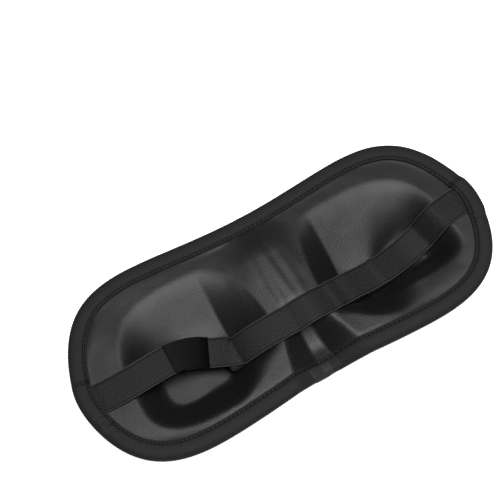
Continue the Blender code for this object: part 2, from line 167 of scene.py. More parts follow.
EDGE = outline_samples()
TRAVEL = [0.0]
for i in range(OUTLINE_SAMPLES):
    TRAVEL.append(TRAVEL[-1] + (EDGE[(i + 1) % OUTLINE_SAMPLES] - EDGE[i]).length)
PERIMETER = TRAVEL[-1]


def edge_at(travel):
    """Point of the outer edge and its inward normal, at a distance along the edge."""
    travel %= PERIMETER
    low, high = 0, OUTLINE_SAMPLES
    while high - low > 1:
        middle = (low + high) // 2
        if TRAVEL[middle] <= travel:
            low = middle
        else:
            high = middle
    share = (travel - TRAVEL[low]) / (TRAVEL[low + 1] - TRAVEL[low])
    here = EDGE[low].lerp(EDGE[(low + 1) % OUTLINE_SAMPLES], share)
    before = EDGE[low - 1].lerp(EDGE[low], share)
    after = EDGE[(low + 1) % OUTLINE_SAMPLES].lerp(EDGE[(low + 2) % OUTLINE_SAMPLES], share)
    along = (after - before).normalized()
    return here, Vector((-along.y, along.x))


EASE = 0.15


def eased(share):
    """Rounded where a slope leaves the rim, straight after that."""
    share = min(1.0, max(0.0, share))
    return (1.0 + EASE) * share * share / (share + EASE)


def nose_wall(x, y):
    """The slope down from the bridge: its rim is an arc, its foot runs straight."""
    half = -1 if x < 0 else 1
    rim, foot = NOSE_WALL[half]
    up = (y - BOWL_Y) / BOWL_UP["brow" if y > BOWL_Y else "cheek"]
    foot += FOOT_FLARE[half] * smooth((BOWL_Y - y) / FLARE_LENGTH)
    width = (foot - rim) * math.sqrt(max(0.03, 1.0 - up * up))
    share = min(1.0, max(0.0, (abs(x) - foot + width) / width))
    return share ** WALL_ROUNDING


def cup_share(x, y):
    """1 at the bottom of an eye hollow, 0 outside it."""
    half = -1 if x < 0 else 1
    side = "nose" if abs(x) < BOWL_X else "temple"
    end = "brow" if y > BOWL_Y else "cheek"
    across = abs(abs(x) - BOWL_X) / BOWL_ACROSS[half][side]
    up = abs(y - BOWL_Y) / BOWL_UP[end]
    turn = up * up / (across * across + up * up + 1e-9)
    cut = CHEEK_CUT[half][side] if end == "cheek" else 0.0
    across *= 1.0 + cut * smooth(CUT_SPREAD * turn)
    power = CUT_SQUARENESS if cut else BOWL_SQUARENESS[side]
    radius = (across ** power + up ** power) ** (1 / power)
    if radius >= 1.0:
        return 0.0
    width = BOWL_SLOPE[side] + (BOWL_SLOPE[end] - BOWL_SLOPE[side]) * smooth(turn)
    share = min(1.0, (1.0 - radius) / width)
    falling = 1.0 - (1.0 - eased(share)) ** FALL_ROUNDING
    weight = smooth(turn) if end == "brow" else 0.0
    bowl = falling * weight + smooth(share) * (1.0 - weight)
    corner = smooth((x - half * BOWL_X - SHALLOW_START[half]) / SHALLOW_SPREAD)
    corner *= smooth((SHALLOW_FADE[0] - y) / SHALLOW_FADE[1])
    return nose_wall(x, y) * bowl * (1.0 - SHALLOW_CORNER[half] * corner)


def nose_channel(x, y):
    """Depth of the channel for the nose: a flat middle, sloping sides and raised creases."""
    along = smooth((NOSE_TOP - y) / (NOSE_TOP - NOSE_FULL))
    share = min(1.0, max(0.0, (NOSE_TOP - y) / (NOSE_TOP - NOSE_EDGE)))
    half_width = NOSE_TOP_HALF + (NOSE_EDGE_HALF - NOSE_TOP_HALF) * share
    out = abs(x - NOSE_LEAN * share) / half_width
    side = eased((1.0 - out) / (1.0 - NOSE_FLOOR_SHARE))
    crest = NOSE_CREST * math.exp(-((out - NOSE_CREST_PLACE) * half_width / NOSE_CREST_WIDTH) ** 2)
    at_border = 1.0 - NOSE_BORDER_RISE * smooth((NOSE_FULL - y) / (NOSE_FULL - NOSE_EDGE))
    return (NOSE_DEPTH * side - crest) * along * at_border


def face_height(x, y):
    """Height of the face side over rim level."""
    cup = cup_share(x, y)
    lift = END_LIFT * (x / HALF_LENGTH) ** 2
    bridge = BRIDGE_RISE + BRIDGE_BROW_RISE * smooth((y - BRIDGE_CLIMB[0]) / BRIDGE_CLIMB[1])
    bridge *= math.exp(-(x / BRIDGE_SPREAD) ** 2)
    bridge *= smooth((BRIDGE_BROW_FADE[0] - y) / BRIDGE_BROW_FADE[1])
    bridge *= smooth((y - BRIDGE_NOSE_FADE[0]) / BRIDGE_NOSE_FADE[1])
    return (lift + bridge) * (1.0 - cup) - HOLLOW_DEPTH * cup - nose_channel(x, y)


def soft_noise(x, y, size, seed):
    """Smooth noise of about -1 to 1; each seed gives another slice of it."""
    return noise.noise(Vector((x / size, y / size, seed)))


# Height and size of each unevenness in the cloth. The folds run up the bridge.
SLOW_WAVES = (0.45 * MM, 26.0 * MM)
QUICK_WAVES = (0.10 * MM, 8.0 * MM)
BRIDGE_FOLDS = (0.55 * MM, 24.0 * MM)
FOLD_NARROWNESS = 5.0
FOLD_SPREAD = 14.0 * MM
FOLD_FADE = 20.0 * MM


def relaxed(x, y):
    """Small hand-made unevenness of the moulded cloth."""
    slow = SLOW_WAVES[0] * soft_noise(x, y, SLOW_WAVES[1], 3.1)
    quick = QUICK_WAVES[0] * soft_noise(x, y, QUICK_WAVES[1], 7.7)
    folds = BRIDGE_FOLDS[0] * soft_noise(x * FOLD_NARROWNESS, y, BRIDGE_FOLDS[1], 5.2)
    on_bridge = math.exp(-(x / FOLD_SPREAD) ** 2) * smooth((y + FOLD_FADE) / FOLD_FADE)
    return slow + quick + folds * on_bridge * (1.0 - cup_share(x, y))


def foam_thickness(inset):
    """Thinner where the binding presses it, and full inside the border."""
    return FOAM_EDGE + (FOAM - FOAM_EDGE) * smooth((inset - FLANGE) / (BORDER - FLANGE))


# ---- mesh helpers -----------------------------------------------------------------------
def new_object(name, mesh, material, body=None, node_names=()):
    """Finished piece from a bmesh: smooth, riding its body and standing for its CAD nodes."""
    data = bpy.data.meshes.new(name)
    mesh.to_mesh(data)
    mesh.free()
    data.materials.append(material)
    data.shade_smooth()
    piece = bpy.data.objects.new(name, data)
    bpy.context.scene.collection.objects.link(piece)
    if body:
        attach(piece, body)
    if node_names:
        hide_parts(*node_names)
    return piece


def unit_grid(columns, rows):
    """A flat grid whose vertices carry their column and row shares, 0 to 1, in x and y."""
    mesh = bmesh.new()
    bmesh.ops.create_grid(mesh, x_segments=columns, y_segments=rows, size=0.5)
    for vert in mesh.verts:
        vert.co += Vector((0.5, 0.5, 0.0))
    return mesh


def close_up(mesh, distance, open_ends):
    """Merges the seam of a rolled-up grid, caps its open ends and turns its faces outwards."""
    bmesh.ops.remove_doubles(mesh, verts=mesh.verts, dist=distance)
    if open_ends:
        bmesh.ops.holes_fill(mesh, edges=[e for e in mesh.edges if e.is_boundary], sides=0)
    bmesh.ops.recalc_face_normals(mesh, faces=mesh.faces)


# ---- materials --------------------------------------------------------------------------
def linear(code):
    """sRGB hex to linear RGBA."""
    values = []
    for i in (0, 2, 4):
        share = int(code[i:i + 2], 16) / 255
        values.append(share / 12.92 if share <= 0.04045 else ((share + 0.055) / 1.055) ** 2.4)
    return (*values, 1.0)


def add(tree, kind, inputs=None, **settings):
    """Adds a node with its settings; an input is a plain value or another node's output."""
    made = tree.nodes.new(kind)
    for name, value in settings.items():
        setattr(made, name, value)
    for name, value in (inputs or {}).items():
        if isinstance(value, bpy.types.NodeSocket):
            tree.links.new(value, made.inputs[name])
        else:
            made.inputs[name].default_value = value
    return made


def start_material(name, **shader_values):
    """New material, its node tree and its shader, with constant values set on the shader."""
    material = bpy.data.materials.new(name)
    material.use_nodes = True
    tree = material.node_tree
    shader = tree.nodes["Principled BSDF"]
    for key, value in shader_values.items():
        shader.inputs[key.replace("_", " ")].default_value = value
    return material, tree, shader


def per_mm(size):
    """Texture scale, in cycles per metre, for a pattern that repeats every size."""
    return 1.0 / size


def brushed_knit(name, dark, light, grain, roughness):
    """Brushed polyester knit, heat-set on foam: fine nap, and the satin shine of pressed fibre."""
    material, tree, shader = start_material(name, Roughness=roughness, Specular_IOR_Level=0.46,
                                            Sheen_Weight=0.02, Sheen_Roughness=0.4)
    place = add(tree, "ShaderNodeTexCoord").outputs["Object"]
    nap = add(tree, "ShaderNodeTexNoise", {"Vector": place, "Scale": per_mm(grain), "Detail": 3.0,
                                          "Roughness": 0.6})
    ramp = add(tree, "ShaderNodeMapRange", {"Value": nap.outputs["Fac"], "From Min": 0.35,
                                            "From Max": 0.65})
    tint = add(tree, "ShaderNodeMix", {"Factor": ramp.outputs[0], 6: linear(dark),
                                       7: linear(light)}, data_type="RGBA")
    bump = add(tree, "ShaderNodeBump", {"Height": nap.outputs["Fac"], "Strength": 0.7,
                                        "Distance": 0.17 * MM})
    tree.links.new(tint.outputs[2], shader.inputs["Base Color"])
    tree.links.new(bump.outputs["Normal"], shader.inputs["Normal"])
    return material


def ribbed_tape_material():
    """Ribbed stretch binding: matte, with painted highlight on the crowns of the ribs and painted shade
    in the stitched groove.
    """
    material, tree, shader = start_material("ribbed_polyester_tape", Roughness=0.7,
                                            Specular_IOR_Level=0.22)
    place = add(tree, "ShaderNodeTexCoord").outputs["Object"]
    fuzz = add(tree, "ShaderNodeTexNoise", {"Vector": place, "Scale": per_mm(0.6 * MM), "Detail": 3.0})
    # painted light: rib crowns tinted lighter as painted highlight, the stitched groove tinted darker
    # as painted shade
    rib_highlight_and_groove_shade = add(tree, "ShaderNodeAttribute", attribute_name="rib_highlight_and_groove_shade")
    both = add(tree, "ShaderNodeMath", {0: rib_highlight_and_groove_shade.outputs["Fac"], 1: fuzz.outputs["Fac"]},
               operation="ADD")
    ramp = add(tree, "ShaderNodeMapRange", {"Value": both.outputs[0], "From Min": 0.1,
                                            "From Max": 1.5})
    tint = add(tree, "ShaderNodeMix", {"Factor": ramp.outputs[0], 6: linear("060606"),
                                       7: linear("303030")}, data_type="RGBA")
    bump = add(tree, "ShaderNodeBump", {"Height": fuzz.outputs["Fac"], "Strength": 0.5,
                                        "Distance": 0.15 * MM})
    tree.links.new(tint.outputs[2], shader.inputs["Base Color"])
    tree.links.new(bump.outputs["Normal"], shader.inputs["Normal"])
    return material


def strap_material(name, dark, light, roughness, speckle, shine=0.4):
    """Knitted elastic: fine speckle, with painted highlight on the raised edge cord and painted shade
    in the groove beside it.
    """
    material, tree, shader = start_material(name, Roughness=roughness, Specular_IOR_Level=shine)
    place = add(tree, "ShaderNodeUVMap", uv_map="along_across").outputs["UV"]
    knit = add(tree, "ShaderNodeTexNoise", {"Vector": place, "Scale": per_mm(speckle), "Detail": 2.0,
                                           "Roughness": 0.7})
    ramp = add(tree, "ShaderNodeMapRange", {"Value": knit.outputs["Fac"], "From Min": 0.35,
                                            "From Max": 0.65})
    tint = add(tree, "ShaderNodeMix", {"Factor": ramp.outputs[0], 6: linear(dark), 7: linear(light)},
               data_type="RGBA")
    # painted light: the selvedge attribute tints the edge cord lighter as painted highlight and its
    # groove darker as painted shade
    edge = add(tree, "ShaderNodeAttribute", attribute_name="selvedge")
    cord = add(tree, "ShaderNodeMath", {0: edge.outputs["Fac"], 1: 0.0}, operation="MAXIMUM")
    groove = add(tree, "ShaderNodeMath", {0: edge.outputs["Fac"], 1: -0.8}, operation="MULTIPLY",
                 use_clamp=True)
    shaded = add(tree, "ShaderNodeMix", {"Factor": groove.outputs[0], 6: tint.outputs[2],
                                         7: linear("050505")}, data_type="RGBA")
    painted_edge_light = add(tree, "ShaderNodeMix", {"Factor": cord.outputs[0], 6: shaded.outputs[2],
                                       7: linear("484848")}, data_type="RGBA")
    bump = add(tree, "ShaderNodeBump", {"Height": knit.outputs["Fac"], "Strength": 0.6,
                                        "Distance": 0.2 * MM})
    tree.links.new(painted_edge_light.outputs[2], shader.inputs["Base Color"])
    tree.links.new(bump.outputs["Normal"], shader.inputs["Normal"])
    return material


def thread_material():
    """Spun polyester thread: dull black with a twist too fine to see, so only fuzz is drawn."""
    material, tree, shader = start_material("spun_polyester_thread", Roughness=0.55)
    place = add(tree, "ShaderNodeTexCoord").outputs["Object"]
    fuzz = add(tree, "ShaderNodeTexNoise", {"Vector": place, "Scale": per_mm(0.4 * MM)})
    tint = add(tree, "ShaderNodeMix", {"Factor": fuzz.outputs["Fac"], 6: linear("161616"),
                                       7: linear("303030")}, data_type="RGBA")
    tree.links.new(tint.outputs[2], shader.inputs["Base Color"])
    return material


def foam_material():
    """Moulded polyurethane foam: matte, closed skin with small cells."""
    material, tree, shader = start_material("moulded_polyurethane_foam", Roughness=0.9)
    place = add(tree, "ShaderNodeTexCoord").outputs["Object"]
    cells = add(tree, "ShaderNodeTexVoronoi", {"Vector": place, "Scale": per_mm(0.7 * MM)})
    tint = add(tree, "ShaderNodeMix", {"Factor": cells.outputs["Distance"], 6: linear("262626"),
                                       7: linear("3a3a3a")}, data_type="RGBA")
    tree.links.new(tint.outputs[2], shader.inputs["Base Color"])
    return material


def plain_tape_material():
    """The same tape where it is stretched flat over itself: smoother and a little lighter."""
    material, tree, shader = start_material("stretched_polyester_tape", Roughness=0.65,
                                            Specular_IOR_Level=0.3)
    place = add(tree, "ShaderNodeTexCoord").outputs["Object"]
    fuzz = add(tree, "ShaderNodeTexNoise", {"Vector": place, "Scale": per_mm(0.6 * MM), "Detail": 3.0})
    tint = add(tree, "ShaderNodeMix", {"Factor": fuzz.outputs["Fac"], 6: linear("222222"),
                                       7: linear("3a3a3a")}, data_type="RGBA")
    tree.links.new(tint.outputs[2], shader.inputs["Base Color"])
    return material


FACE_FABRIC = brushed_knit("brushed_polyester_knit", "0a0809", "1f1c1d", 0.6 * MM, 0.46)
FRONT_FABRIC = brushed_knit("smooth_polyester_knit", "100f10", "232123", 0.7 * MM, 0.56)
RIBBED_TAPE = ribbed_tape_material()
SMOOTH_TAPE = plain_tape_material()
ELASTIC_KNIT = strap_material("knitted_elastic", "080808", "2e2e2e", 0.6, 0.6 * MM, shine=0.2)
LOOP_KNIT = strap_material("brushed_loop_tape", "090909", "323232", 0.62, 0.6 * MM, shine=0.2)
HOOK_BACKING = strap_material("hook_tape_backing", "040404", "080808", 0.7, 0.9 * MM, shine=0.05)
THREAD = thread_material()
FOAM_SKIN = foam_material()


# ---- pad --------------------------------------------------------------------------------
BORDER_SHARE = 0.26             # share of the rings that lies on the flat border
HALF_PERIMETER = TRAVEL[OUTLINE_SAMPLES // 2]


def upper_index(travel):
    """First outline sample of the brow half at or past a distance along the edge."""
    low, high = 0, OUTLINE_SAMPLES // 2
    while low < high:
        middle = (low + high) // 2
        if TRAVEL[middle] < travel - 1e-9:
            low = middle + 1
        else:
            high = middle
    return low


def pad_point(travel_share, depth_share, edge_inset):
    """A place on the pad: round it from the right tip, and in from the edge to the spine."""
    upper = travel_share <= 0.5
    sample = upper_index(2 * (travel_share if upper else 1.0 - travel_share) * HALF_PERIMETER)
    opposite = (OUTLINE_SAMPLES - sample) % OUTLINE_SAMPLES
    if not upper:
        sample, opposite = opposite, sample
    here = EDGE[sample]
    along = (EDGE[(sample + 1) % OUTLINE_SAMPLES] - EDGE[sample - 1]).normalized()
    inward = Vector((-along.y, along.x))
    spine = Vector(((here.x + EDGE[opposite].x) / 2 * SPINE_SHARE, SPINE_Y))
    if depth_share < BORDER_SHARE:
        inset = edge_inset + (BORDER - edge_inset) * depth_share / BORDER_SHARE
        return here + inward * inset, inset
    share = (depth_share - BORDER_SHARE) / (1.0 - BORDER_SHARE)
    return (here + inward * BORDER).lerp(spine, share), BORDER


def pad_shell(name, around, rings, top_of, bottom_of, surface, material, node_name):
    """A closed moulded layer between two depths under the face side."""
    edge_inset = TAPE + GAP
    mesh = unit_grid(around, rings)
    inset_of = {}
    for vert in mesh.verts:
        flat, inset = pad_point(vert.co.x, vert.co.y, edge_inset)
        vert.co = Vector((flat.x, flat.y, 0.0))
        inset_of[vert] = inset
    depth = {}
    for vert, inset in inset_of.items():
        x, y = vert.co.x, vert.co.y
        vert.co.z = surface(x, y, inset) - top_of(inset)
        depth[(round(x, 7), round(y, 7))] = bottom_of(inset) - top_of(inset)
    bmesh.ops.remove_doubles(mesh, verts=mesh.verts, dist=0.02 * MM)
    made = bmesh.ops.extrude_face_region(mesh, geom=list(mesh.faces), use_keep_orig=True)["geom"]
    for vert in (item for item in made if isinstance(item, bmesh.types.BMVert)):
        key = (round(vert.co.x, 7), round(vert.co.y, 7))
        vert.co.z -= depth.get(key, bottom_of(BORDER) - top_of(BORDER))
    bmesh.ops.recalc_face_normals(mesh, faces=mesh.faces)
    return new_object(name, mesh, material, "root", (node_name,))


def face_surface(x, y, inset):
    """The moulded face side with its small unevenness, which fades out under the binding."""
    free = smooth((inset - FLANGE + MM) / (3 * MM))
    return RIM + face_height(x, y) + relaxed(x, y) * free


GLUE_LINE = 0.05 * MM


def cover_top(inset):
    """Depth of the front fabric's inner face under the face side."""
    return FABRIC + GAP + foam_thickness(inset) + GAP


def make_pad():
    """The bonded sandwich: face fabric, foam and front fabric."""
    face = pad_shell("face_fabric", 480, 56, lambda inset: 0.0, lambda inset: FABRIC,
                     face_surface, FACE_FABRIC, "face_lining")
    foam = pad_shell("foam_pad", 240, 32, lambda inset: FABRIC + GLUE_LINE,
                     lambda inset: cover_top(inset) - GLUE_LINE,
                     face_surface, FOAM_SKIN, "foam_core")
    front = pad_shell("front_fabric", 480, 56, cover_top, lambda inset: cover_top(inset) + FABRIC,
                      face_surface, FRONT_FABRIC, "front_cover")


make_pad()


# ---- binding ----------------------------------------------------------------------------
RIB_PITCH = 1.4 * MM
RIB_HEIGHT = 0.28 * MM
RIB_SLANT = 0.7                 # how far a rib leans along the edge for each unit across
COLUMNS_PER_RIB = 5
GROOVE_INSET = 7.6 * MM         # the stitches pull a groove into the tape
EDGE_ROLL = 2.5 * MM            # outside this inset the tape turns over the edge
PAD_EDGE_THICKNESS = FABRIC + GAP + FOAM_EDGE + GAP + FABRIC

# Outer face of the tape from the inner lip on the face side to the outer edge:
# (inset from the outer edge, height over the pad), in mm.
TAPE_PROFILE = ((9.0, 0.15), (8.9, 0.75), (8.5, 1.0), (8.0, 0.8), (7.6, 0.3), (7.2, 0.8), (6.5, 1.15),
                (5.5, 1.3), (4.3, 1.35), (3.2, 1.3), (2.2, 1.15), (1.3, 0.75), (0.6, 0.1), (0.15, -0.7))


TIP_X = HALF_LENGTH - 2 * FLANGE    # the strap ends lie further out than this
TAIL_FADE = 4.5 * MM
PUCKER = 1.1 * MM
PUCKER_Y = -18.0 * MM
PUCKER_SPREAD = 5.0 * MM
RIGHT_PUCKER = 0.35             # the right tip's share of the left tip's bunching
SLACK_WAVES = (0.15 * MM, 9.0 * MM)
PUCKER_WAVE = 3.2 * MM


def tail_lift(point):
    """How far the tape rides up over the strap end sewn under it."""
    if abs(point.x) < TIP_X:
        return 0.0
    beside = (abs(point.y - SEAM_Y) - STRAP_WIDTH / 2) / TAIL_FADE
    return (ELASTIC + GAP) * smooth(1.2 - beside)


def pucker_share(travel):
    """Where the tape was eased round the strap ends it bunches up a little."""
    edge = edge_at(travel)[0]
    if abs(edge.x) < TIP_X:
        return 0.0
    below = math.exp(-((edge.y - PUCKER_Y) / PUCKER_SPREAD) ** 2)
    return below if edge.x < 0 else RIGHT_PUCKER * below


def tape_section():
    """Closed section of the folded tape: (inset, offset, on the face side, is outer face)."""
    face = [(inset * MM, offset * MM, True, True) for inset, offset in TAPE_PROFILE]
    front = [(inset * MM, offset * MM, False, True) for inset, offset in reversed(TAPE_PROFILE)]
    inside = [(8.7 * MM, 0.12 * MM, False, False), (5.0 * MM, 0.1 * MM, False, False),
              (1.3 * MM, 0.05 * MM, False, False), (0.95 * MM, -0.9 * MM, False, False),
              (0.95 * MM, -0.9 * MM, True, False), (1.3 * MM, 0.05 * MM, True, False),
              (5.0 * MM, 0.1 * MM, True, False), (8.7 * MM, 0.12 * MM, True, False)]
    return face + front + inside


def tape_point(travel, inset, offset, face_side):
    """A place on the tape: along the edge, in from it, and out from the pad on either side."""
    edge, inward = edge_at(travel)
    flat = edge + inward * inset
    base = RIM + face_height(flat.x, flat.y)
    if face_side:
        return Vector((flat.x, flat.y, base + tail_lift(edge) + offset))
    return Vector((flat.x, flat.y, base - PAD_EDGE_THICKNESS - offset))


def make_binding():
    """The tape folded over the pad's edge, with a rib every RIB_PITCH along it."""
    section = tape_section()
    ribs = round(PERIMETER / RIB_PITCH)
    rows = len(section)
    across = [0.0]
    for one, two in zip(section, section[1:]):
        across.append(across[-1] + math.hypot(two[0] - one[0], two[1] - one[1]))
    mesh = unit_grid(ribs * COLUMNS_PER_RIB, rows)
    rib_highlight_and_groove_shade = mesh.verts.layers.float.new("rib_highlight_and_groove_shade")
    for vert in mesh.verts:
        travel = vert.co.x * PERIMETER
        k = round(vert.co.y * rows) % rows
        inset, offset, face_side, outer = section[k]
        phase = (travel + across[k] * RIB_SLANT) / PERIMETER * ribs
        wave = 0.5 + 0.5 * math.cos(2 * math.pi * phase)
        slack = soft_noise(travel, across[k], SLACK_WAVES[1], 1.7) * SLACK_WAVES[0]
        slack += soft_noise(travel, across[k], PUCKER_WAVE, 4.4) * PUCKER * pucker_share(travel)
        ribbed = outer and offset > 0.2 * MM or 0.1 * MM < inset < MM
        grow = RIB_HEIGHT * wave + slack if ribbed else 0.0
        spot = tape_point(travel, inset, offset + grow, face_side)
        if outer and inset < EDGE_ROLL:
            inward = edge_at(travel)[1]
            spot -= inward.to_3d() * RIB_HEIGHT * wave * 0.3
        vert.co = spot
        # The colour share paints highlight on the rib crowns and paints shade in the stitched groove.
        in_groove = math.exp(-((inset - GROOVE_INSET) / (0.45 * MM)) ** 2)
        vert[rib_highlight_and_groove_shade] = wave - 1.2 * in_groove if outer else 0.0
    close_up(mesh, 0.005 * MM, open_ends=False)
    return new_object("edge_tape", mesh, RIBBED_TAPE, "root", ("edge_binding",))


make_binding()

JOIN_COLUMNS = 30
JOIN_PLUMPNESS = 0.3 * MM
JOIN_SEAM = 0.86                # the cross seam, as a share of the join's length
JOIN_PINCH = 0.22 * MM          # how deep that seam pulls in


def make_join():
    """The end of the tape, lapped over its start at the nose edge and tapered at both sides."""
    section = [row for row in tape_section() if row[3] and row[0] < 7.0 * MM]
    start = next(TRAVEL[i] for i in range(OUTLINE_SAMPLES)
                 if EDGE[i].y < 0 and EDGE[i].x > JOIN_X - JOIN_LENGTH / 2)
    half = len(section)
    rows = 2 * half
    mesh = unit_grid(JOIN_COLUMNS, rows)
    for vert in mesh.verts:
        share = vert.co.x
        k = round(vert.co.y * rows) % rows
        outer = k < half
        inset, offset, face_side = section[k if outer else rows - 1 - k][:3]
        plump = smooth(share * 7) * smooth((1.0 - share) * 7)
        grow = JOIN_PLUMPNESS * plump + 0.12 * MM if outer else -0.25 * MM
        pinch = JOIN_PINCH * math.exp(-((share - JOIN_SEAM) / 0.035) ** 2) if outer else 0.0
        travel = start + share * JOIN_LENGTH
        spot = tape_point(travel, inset, offset + grow - pinch, face_side)
        if inset < EDGE_ROLL:
            inward = edge_at(travel)[1]
            spot -= inward.to_3d() * (grow - pinch) * 0.6
        vert.co = spot
    close_up(mesh, 0.002 * MM, open_ends=True)
    return new_object("tape_lap", mesh, SMOOTH_TAPE, "root", ("binding_join",))


make_join()


# ---- stitches ---------------------------------------------------------------------------
STITCH_PITCH = 2.4 * MM
STITCH_INSET = 7.62 * MM
STITCH_SIZE = (1.9 * MM, 0.6 * MM)      # length and width
BAR_STITCH_SIZE = (1.3 * MM, 0.45 * MM)
BAR_STITCHES = 8
BAR_MARGIN = 0.8 * MM                   # from each edge of the strap


def add_stitch(mesh, centre, along, across, up, length, width):
    """One visible stitch: a short plump loop of thread."""
    made = bmesh.ops.create_uvsphere(mesh, u_segments=8, v_segments=5, radius=0.5)["verts"]
    turn = Matrix((along * width, across * width, up * width)).transposed()
    stretch = Matrix.Diagonal((length / width, 1.0, 0.8))
    for vert in made:
        vert.co = centre + turn @ (stretch @ vert.co)


def make_edge_stitches(name, face_side, node_name):
    """The row of stitches all round the mask, in the groove of the tape."""
    mesh = bmesh.new()
    count = round(PERIMETER / STITCH_PITCH)
    for i in range(count):
        travel = PERIMETER * i / count
        centre = tape_point(travel, STITCH_INSET, 0.5 * MM, face_side)
        after = tape_point(travel + 0.5 * MM, STITCH_INSET, 0.5 * MM, face_side)
        along = (after - centre).normalized()
        up = Vector((0, 0, 1.0)) if face_side else Vector((0, 0, -1.0))
        side = up.cross(along).normalized()
        add_stitch(mesh, centre, along, side, up, *STITCH_SIZE)
    return new_object(name, mesh, THREAD, "root", (node_name,))


make_edge_stitches("face_stitches", True, "face_stitching")
make_edge_stitches("front_stitches", False, "front_stitching")


# ---- strap ------------------------------------------------------------------------------
LOOP_TAPE = 1.2 * MM
HOOK_TAPE = 1.6 * MM
UNDER_TAB = HOOK_TAPE / 2 + GAP + LOOP_TAPE / 2
FLANGE_X = HALF_LENGTH - FLANGE
TAB_ROOT_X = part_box("hook_tab")[0].x
TAB_END_X = -46.0 * MM
LOOP_END_X = -59.0 * MM
FOLD_RIGHT_X = -35.0 * MM
FOLD_LEFT_X = -39.5 * MM
FOLD_PITCH = 2.0 * MM
LAP_START_X = 36.0 * MM
LAP_END_X = 48.0 * MM
LAP_CLIMB = (14.0 * MM, 10.0 * MM)     # how far before the elastic it climbs, over what length
LAP_LIFT = 1.5 * MM              # the cut end of the lap stands off the elastic
LAP_CURL = 3.0 * MM              # length that stands off
SEAM_HEIGHT = GAP + ELASTIC / 2
HINGE_X = FLANGE_X - 2.0 * MM    # the elastic bends here as it lifts
TAIL_INSET = 3.2 * MM            # from the tip to the sewn-in end of the elastic
CLEARANCE = 0.2 * MM
REACH = 3.0 * MM                 # how far along the strap the surface under it is felt
FOLD_LOW = -7.4 * MM
LEFT_PLAN = ((-HALF_LENGTH, SEAM_Y), (-FLANGE_X, SEAM_Y - 0.8 * MM), (-83 * MM, -4.1 * MM),
             (-64 * MM, -3.4 * MM), (-54 * MM, -4.8 * MM), (-46 * MM, -8.0 * MM),
             (-35 * MM, -13.4 * MM))
LONG_PLAN = ((FOLD_LEFT_X, -13.4 * MM), (-27 * MM, -13.8 * MM), (5 * MM, -13.9 * MM),
             (30 * MM, -12.9 * MM), (48 * MM, -12.0 * MM), (69 * MM, -8.4 * MM),
             (90 * MM, -4.0 * MM), (FLANGE_X, SEAM_Y), (HALF_LENGTH, SEAM_Y))
LEFT_RISE = ((-FLANGE_X, SEAM_HEIGHT + END_LIFT * 0.9), (-90 * MM, 4.2 * MM), (-76 * MM, 4.6 * MM),
             (-64 * MM, 3.8 * MM), (-54 * MM, 1.8 * MM), (-46 * MM, -0.6 * MM))
LONG_RISE = ((FOLD_LEFT_X, FOLD_LOW), (FOLD_RIGHT_X, FOLD_LOW), (-16 * MM, -2.0 * MM),
             (5 * MM, STRAP_OVER_BRIDGE), (18 * MM, 1.5 * MM), (36 * MM, -4.5 * MM),
             (56 * MM, -7.6 * MM), (69 * MM, -8.0 * MM), (90 * MM, -1.2 * MM),
             (FLANGE_X, SEAM_HEIGHT + END_LIFT * 0.9))


def through(points, x):
    """Smooth curve through (x, value) points: a Hermite piece between neighbours."""
    if x <= points[0][0]:
        return points[0][1]
    if x >= points[-1][0]:
        return points[-1][1]
    slopes = []
    for i in range(len(points)):
        before = points[max(i - 1, 0)]
        after = points[min(i + 1, len(points) - 1)]
        slopes.append((after[1] - before[1]) / (after[0] - before[0]))
    k = max(i for i in range(len(points) - 1) if points[i][0] <= x)
    span = points[k + 1][0] - points[k][0]
    t = (x - points[k][0]) / span
    a, b = points[k][1], points[k + 1][1]
    return ((2 * t ** 3 - 3 * t ** 2 + 1) * a + (t ** 3 - 2 * t ** 2 + t) * span * slopes[k]
            + (3 * t ** 2 - 2 * t ** 3) * b + (t ** 3 - t ** 2) * span * slopes[k + 1])


def clear_height(x, y, wanted):
    """The wanted height, or just over the mask where that would press into it."""
    half = STRAP_WIDTH / 2
    highest = max(face_height(x + along, y + across * half)
                  for along in (-REACH, 0.0, REACH) for across in (-1, -0.5, 0, 0.5, 1))
    return max(wanted, highest + SEAM_HEIGHT + CLEARANCE)


def long_line(x):
    """Middle line of the long half of the strap."""
    y = through(LONG_PLAN, x)
    return Vector((x, y, RIM + clear_height(x, y, through(LONG_RISE, x))))


FOLD_TOP = long_line(FOLD_RIGHT_X).z - RIM + 2 * FOLD_PITCH + UNDER_TAB


def left_line(x):
    """Middle line of the left elastic, the hook tab and the spare loop tape under it."""
    y = through(LEFT_PLAN, x)
    rise = through(LEFT_RISE + ((FOLD_RIGHT_X, FOLD_TOP),), x)
    return Vector((x, y, RIM + clear_height(x, y, rise)))


def heading(line, x):
    """Level direction across a strap."""
    along = line(x + MM) - line(x - MM)
    return Vector((-along.y, along.x, 0.0)).normalized()


def line_path(line, start, stop, drop=0.0):
    """(point, across) pairs about every millimetre along a line."""
    count = max(2, round(abs(stop - start) / MM))
    path = []
    for i in range(count + 1):
        x = start + (stop - start) * i / count
        path.append((line(x) - Vector((0.0, 0.0, drop)), heading(line, x)))
    return path


# Selvedge: distance from the strap's edge, spread, and height or depth.
CORD = (0.2 * MM, 0.22 * MM, 0.12 * MM)
GROOVE = (0.95 * MM, 0.3 * MM, 0.22 * MM)
EDGE_FALL = 0.35                 # the corners of a strap's section are taken off by this share
UNDERSIDE_STEPS = 8


def strap_columns():
    """Places across the strap, closer together in the selvedges."""
    half = STRAP_WIDTH / 2
    near = [0.0, 0.15, 0.3, 0.5, 0.7, 0.95, 1.2, 1.45, 1.75, 2.1, 2.6]
    left = [-half + step * MM for step in near]
    return left + [i * 0.8 * MM for i in range(-5, 6)] + [-across for across in reversed(left)]


